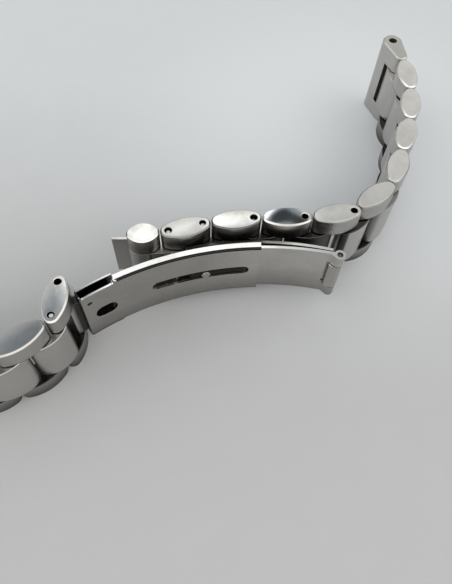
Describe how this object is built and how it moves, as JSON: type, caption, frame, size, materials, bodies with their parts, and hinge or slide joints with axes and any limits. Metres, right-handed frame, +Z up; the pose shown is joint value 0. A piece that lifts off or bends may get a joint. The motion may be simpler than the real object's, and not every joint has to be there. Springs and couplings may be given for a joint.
{
  "type": "link watch bracelet",
  "caption": "Steel link watch bracelet opened out on its edge, with wide centre links between rounded edge links, a fold-over hidden clasp that slides to lengthen, and lug ends for spring bars.",
  "frame": {"origin": "middle of the footprint, on the surface that the bracelet stands on with one edge", "axes": "+Z up, along the link pins; +X along the bracelet from its far left end towards the curled right end; the arched clasp bulges towards +Y"},
  "size_m": [0.0966, 0.0792, 0.016],
  "materials": {
    "edge_link_steel": "polished faces with a bright bevel, brushed walls",
    "centre_link_steel": "brushed along the band",
    "clasp_steel": "satin, with polished edges",
    "pin_steel": "drawn wire"
  },
  "bodies": {
    "root": {"extension_blade": "clasp_steel", "slide_rivet": "pin_steel", "fold_hinge_pin": "pin_steel"},
    "channel": {"channel_blade": "clasp_steel", "clasp_end_block": "centre_link_steel"},
    "fold": {"fold_blade": "clasp_steel"},
    "end_unit": {"end_centre_piece": "centre_link_steel", "end_edge_links": "edge_link_steel", "end_link_dowels": "pin_steel", "end_hinge_pin": "pin_steel", "latch_tongue": "clasp_steel"},
    "right_link_1": {"right_edge_links_1": "edge_link_steel", "right_link_pins_1": "pin_steel"},
    "right_centre_1": {"right_centre_link_1": "centre_link_steel"},
    "right_link_2": {"right_edge_links_2": "edge_link_steel", "right_link_pins_2": "pin_steel"},
    "right_centre_2": {"right_centre_link_2": "centre_link_steel"},
    "right_link_3": {"right_edge_links_3": "edge_link_steel", "right_link_pins_3": "pin_steel"},
    "right_centre_3": {"right_centre_link_3": "centre_link_steel"},
    "right_link_4": {"right_edge_links_4": "edge_link_steel", "right_link_pins_4": "pin_steel"},
    "right_centre_4": {"right_centre_link_4": "centre_link_steel"},
    "right_link_5": {"right_edge_links_5": "edge_link_steel", "right_link_pins_5": "pin_steel"},
    "right_centre_5": {"right_centre_link_5": "centre_link_steel"},
    "right_link_6": {"right_edge_links_6": "edge_link_steel", "right_link_pins_6": "pin_steel"},
    "right_centre_6": {"right_centre_link_6": "centre_link_steel"},
    "right_link_7": {"right_edge_links_7": "edge_link_steel", "right_link_pins_7": "pin_steel"},
    "right_centre_7": {"right_centre_link_7": "centre_link_steel"},
    "right_link_8": {"right_edge_links_8": "edge_link_steel", "right_link_pins_8": "pin_steel"},
    "right_centre_8": {"right_centre_link_8": "centre_link_steel"},
    "right_link_9": {"right_edge_links_9": "edge_link_steel", "right_link_pins_9": "pin_steel"},
    "right_centre_9": {"right_centre_link_9": "centre_link_steel"},
    "right_lug": {"right_lug_link": "centre_link_steel", "right_lug_link_pin": "pin_steel"},
    "left_link_1": {"left_edge_links_1": "edge_link_steel", "left_link_pins_1": "pin_steel"},
    "left_centre_1": {"left_centre_link_1": "centre_link_steel"},
    "left_link_2": {"left_edge_links_2": "edge_link_steel", "left_link_pins_2": "pin_steel"},
    "left_centre_2": {"left_centre_link_2": "centre_link_steel"},
    "left_link_3": {"left_edge_links_3": "edge_link_steel", "left_link_pins_3": "pin_steel"},
    "left_centre_3": {"left_centre_link_3": "centre_link_steel"},
    "left_link_4": {"left_edge_links_4": "edge_link_steel", "left_link_pins_4": "pin_steel"},
    "left_centre_4": {"left_centre_link_4": "centre_link_steel"},
    "left_link_5": {"left_edge_links_5": "edge_link_steel", "left_link_pins_5": "pin_steel"},
    "left_centre_5": {"left_centre_link_5": "centre_link_steel"},
    "left_lug": {"left_lug_link": "centre_link_steel", "left_lug_link_pin": "pin_steel"}
  },
  "joints": [
    {"name": "extension_slide", "type": "hinge", "parent": "root", "child": "channel", "pos_m": [0.02342, -0.06122, 0.008], "axis": [0, 0, 1], "range_deg": [-9.4, 7.2]},
    {"name": "clasp_fold", "type": "hinge", "parent": "root", "child": "fold", "pos_m": [0.0317, -0.01332, 0.008], "axis": [0, 0, -1], "range_deg": [-1.8, 150]},
    {"name": "end_unit_hinge", "type": "hinge", "parent": "fold", "child": "end_unit", "pos_m": [0.00597, -0.01381, 0.008], "axis": [0, 0, 1], "range_deg": [0, 10]},
    {"name": "right_link_1_hinge", "type": "hinge", "parent": "end_unit", "child": "right_link_1", "pos_m": [0.00457, -0.01235, 0.008], "axis": [0, 0, 1], "range_deg": [-1, 30]},
    {"name": "right_centre_1_hinge", "type": "hinge", "parent": "right_link_1", "child": "right_centre_1", "pos_m": [0.00979, -0.01056, 0.008], "axis": [0, 0, -1], "range_deg": [-36, 3]},
    {"name": "right_link_2_hinge", "type": "hinge", "parent": "right_centre_1", "child": "right_link_2", "pos_m": [0.01234, -0.00987, 0.008], "axis": [0, 0, 1], "range_deg": [-4, 44]},
    {"name": "right_centre_2_hinge", "type": "hinge", "parent": "right_link_2", "child": "right_centre_2", "pos_m": [0.01775, -0.00882, 0.008], "axis": [0, 0, -1], "range_deg": [-43, 10]},
    {"name": "right_link_3_hinge", "type": "hinge", "parent": "right_centre_2", "child": "right_link_3", "pos_m": [0.02037, -0.00845, 0.008], "axis": [0, 0, 1], "range_deg": [-14, 43]},
    {"name": "right_centre_3_hinge", "type": "hinge", "parent": "right_link_3", "child": "right_centre_3", "pos_m": [0.02587, -0.00797, 0.008], "axis": [0, 0, -1], "range_deg": [-35, 31]},
    {"name": "right_link_4_hinge", "type": "hinge", "parent": "right_centre_3", "child": "right_link_4", "pos_m": [0.02847, -0.00754, 0.008], "axis": [0, 0, 1], "range_deg": [-44, 35]},
    {"name": "right_centre_4_hinge", "type": "hinge", "parent": "right_link_4", "child": "right_centre_4", "pos_m": [0.03383, -0.0062, 0.008], "axis": [0, 0, -1], "range_deg": [-7, 73]},
    {"name": "right_link_5_hinge", "type": "hinge", "parent": "right_centre_4", "child": "right_link_5", "pos_m": [0.03563, -0.00427, 0.008], "axis": [0, 0, 1], "range_deg": [-33, 47]},
    {"name": "right_centre_5_hinge", "type": "hinge", "parent": "right_link_5", "child": "right_centre_5", "pos_m": [0.03986, -0.00072, 0.008], "axis": [0, 0, -1], "range_deg": [-18, 62]},
    {"name": "right_link_6_hinge", "type": "hinge", "parent": "right_centre_5", "child": "right_link_6", "pos_m": [0.0411, 0.00161, 0.008], "axis": [0, 0, 1], "range_deg": [-50, 30]},
    {"name": "right_centre_6_hinge", "type": "hinge", "parent": "right_link_6", "child": "right_centre_6", "pos_m": [0.0428, 0.00686, 0.008], "axis": [0, 0, -1], "range_deg": [-38, 42]},
    {"name": "right_link_7_hinge", "type": "hinge", "parent": "right_centre_6", "child": "right_link_7", "pos_m": [0.04353, 0.0094, 0.008], "axis": [0, 0, 1], "range_deg": [-40, 40]},
    {"name": "right_centre_7_hinge", "type": "hinge", "parent": "right_link_7", "child": "right_centre_7", "pos_m": [0.04505, 0.0147, 0.008], "axis": [0, 0, -1], "range_deg": [-36, 44]},
    {"name": "right_link_8_hinge", "type": "hinge", "parent": "right_centre_7", "child": "right_link_8", "pos_m": [0.0456, 0.01729, 0.008], "axis": [0, 0, 1], "range_deg": [-44, 36]},
    {"name": "right_centre_8_hinge", "type": "hinge", "parent": "right_link_8", "child": "right_centre_8", "pos_m": [0.04637, 0.02275, 0.008], "axis": [0, 0, -1], "range_deg": [-34, 46]},
    {"name": "right_link_9_hinge", "type": "hinge", "parent": "right_centre_8", "child": "right_link_9", "pos_m": [0.04646, 0.02539, 0.008], "axis": [0, 0, 1], "range_deg": [-46, 34]},
    {"name": "right_centre_9_hinge", "type": "hinge", "parent": "right_link_9", "child": "right_centre_9", "pos_m": [0.04607, 0.0309, 0.008], "axis": [0, 0, -1], "range_deg": [-34, 46]},
    {"name": "right_lug_hinge", "type": "hinge", "parent": "right_centre_9", "child": "right_lug", "pos_m": [0.04562, 0.0335, 0.008], "axis": [0, 0, 1], "range_deg": [-46, 34]},
    {"name": "left_link_1_hinge", "type": "hinge", "parent": "channel", "child": "left_link_1", "pos_m": [-0.01043, -0.02269, 0.008], "axis": [0, 0, 1], "range_deg": [-90, 0]},
    {"name": "left_centre_1_hinge", "type": "hinge", "parent": "left_link_1", "child": "left_centre_1", "pos_m": [-0.01024, -0.02821, 0.008], "axis": [0, 0, -1], "range_deg": [-84, 0]},
    {"name": "left_link_2_hinge", "type": "hinge", "parent": "left_centre_1", "child": "left_link_2", "pos_m": [-0.012, -0.03017, 0.008], "axis": [0, 0, 1], "range_deg": [-34, 46]},
    {"name": "left_centre_2_hinge", "type": "hinge", "parent": "left_link_2", "child": "left_centre_2", "pos_m": [-0.01611, -0.03386, 0.008], "axis": [0, 0, -1], "range_deg": [-51, 29]},
    {"name": "left_link_3_hinge", "type": "hinge", "parent": "left_centre_2", "child": "left_link_3", "pos_m": [-0.01837, -0.03522, 0.008], "axis": [0, 0, 1], "range_deg": [-29, 51]},
    {"name": "left_centre_3_hinge", "type": "hinge", "parent": "left_link_3", "child": "left_centre_3", "pos_m": [-0.02355, -0.03711, 0.008], "axis": [0, 0, -1], "range_deg": [-49, 31]},
    {"name": "left_link_4_hinge", "type": "hinge", "parent": "left_centre_3", "child": "left_link_4", "pos_m": [-0.02615, -0.03761, 0.008], "axis": [0, 0, 1], "range_deg": [-31, 49]},
    {"name": "left_centre_4_hinge", "type": "hinge", "parent": "left_link_4", "child": "left_centre_4", "pos_m": [-0.03166, -0.0378, 0.008], "axis": [0, 0, -1], "range_deg": [-46, 34]},
    {"name": "left_link_5_hinge", "type": "hinge", "parent": "left_centre_4", "child": "left_link_5", "pos_m": [-0.0343, -0.03762, 0.008], "axis": [0, 0, 1], "range_deg": [-34, 46]},
    {"name": "left_centre_5_hinge", "type": "hinge", "parent": "left_link_5", "child": "left_centre_5", "pos_m": [-0.03973, -0.03666, 0.008], "axis": [0, 0, -1], "range_deg": [-45, 35]},
    {"name": "left_lug_hinge", "type": "hinge", "parent": "left_centre_5", "child": "left_lug", "pos_m": [-0.04228, -0.03598, 0.008], "axis": [0, 0, 1], "range_deg": [-35, 45]}
  ]
}
